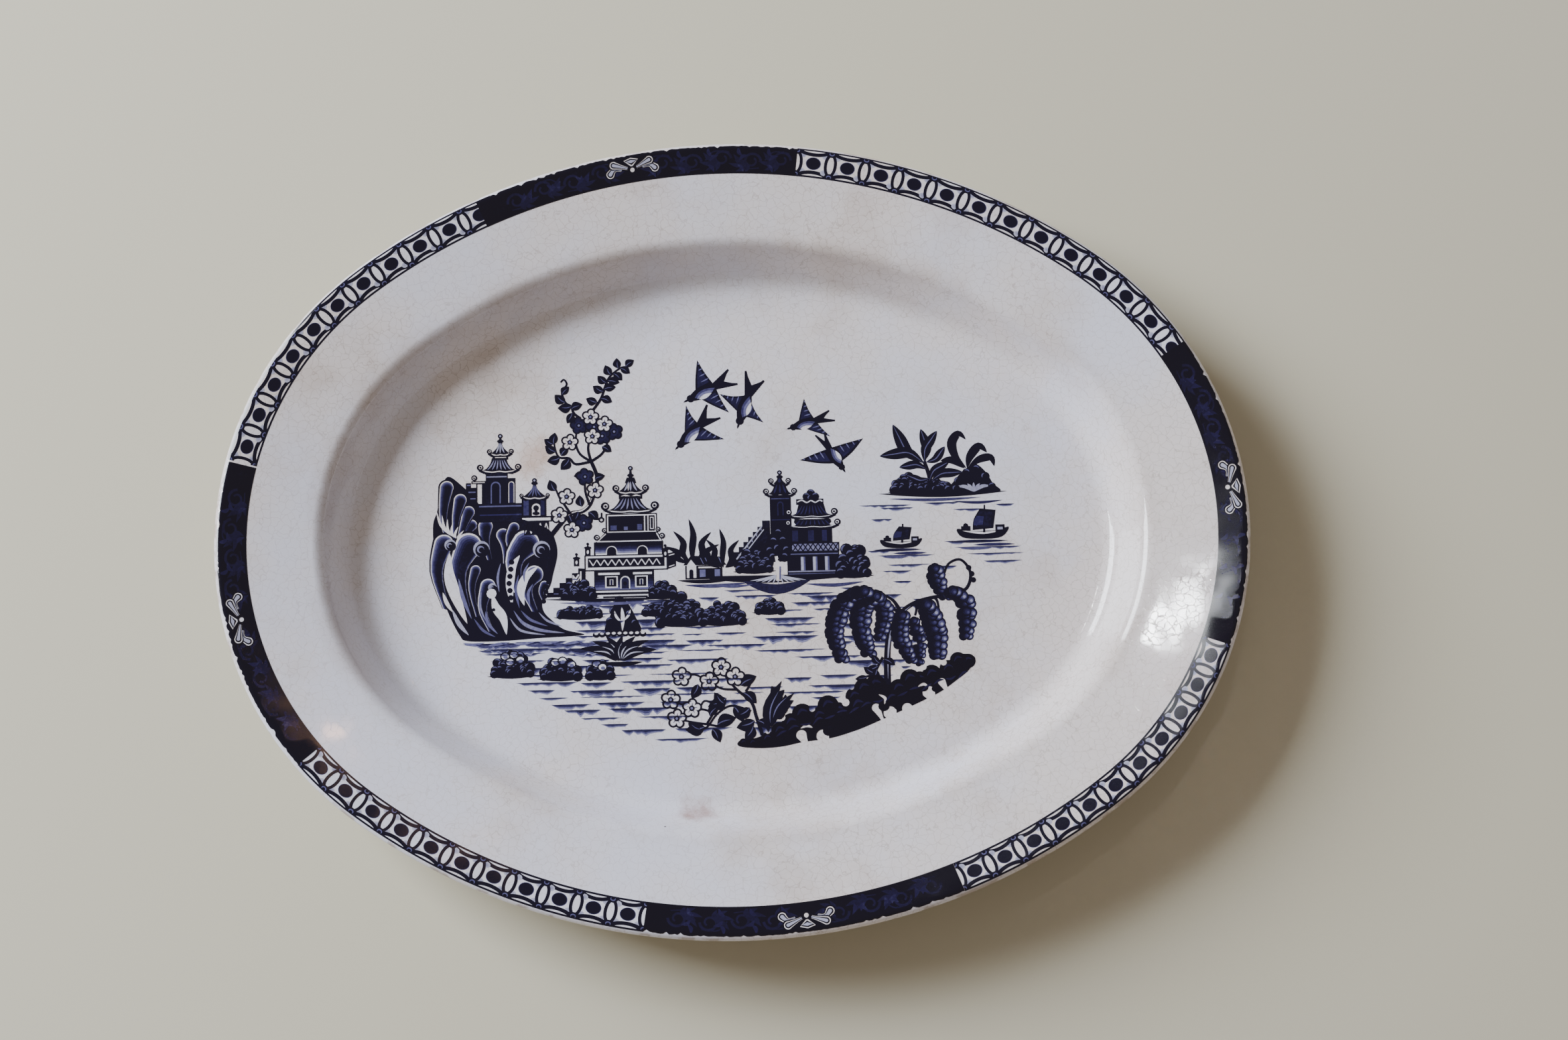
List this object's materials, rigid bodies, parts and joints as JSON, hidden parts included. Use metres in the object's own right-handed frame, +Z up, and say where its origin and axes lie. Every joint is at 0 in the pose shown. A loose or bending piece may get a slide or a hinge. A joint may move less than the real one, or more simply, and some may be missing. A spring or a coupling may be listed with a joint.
{
  "type": "serving platter",
  "caption": "Oval china serving platter with a wide sloping flange, a shallow well and a foot ring, printed in blue with a trellis border and a pagoda scene.",
  "frame": {"origin": "middle of the foot ring's resting plane, at the base", "axes": "+X along the platter's length, +Y across its width towards the top of the picture, +Z up out of the well"},
  "size_m": [0.42, 0.33, 0.036],
  "materials": {
    "biscuit_earthenware": "matte",
    "cream_blue_glaze": "glossy, finely crazed",
    "dark_cobalt_print": "glossy",
    "cobalt_print": "glossy",
    "pale_cobalt_print": "glossy"
  },
  "bodies": {
    "root": {"body": "biscuit_earthenware", "foot_ring": "biscuit_earthenware", "face_glaze": "cream_blue_glaze", "back_glaze": "cream_blue_glaze", "panel_back": "dark_cobalt_print", "panel_right": "dark_cobalt_print", "panel_front": "dark_cobalt_print", "panel_left": "dark_cobalt_print", "trellis_back_right": "cobalt_print", "trellis_back_left": "cobalt_print", "trellis_front_left": "cobalt_print", "trellis_front_right": "cobalt_print", "print_rock_cliff": "cobalt_print", "print_cliff_temple": "cobalt_print", "print_blossom_branch": "cobalt_print", "print_pagoda": "cobalt_print", "print_hut": "cobalt_print", "print_swallows": "cobalt_print", "print_far_pavilion": "cobalt_print", "print_island": "cobalt_print", "print_large_boat": "cobalt_print", "print_small_boat": "cobalt_print", "print_willow": "cobalt_print", "print_hedge": "cobalt_print", "print_flower_spray": "cobalt_print", "print_bushes": "cobalt_print", "print_water": "pale_cobalt_print"}
  },
  "joints": []
}
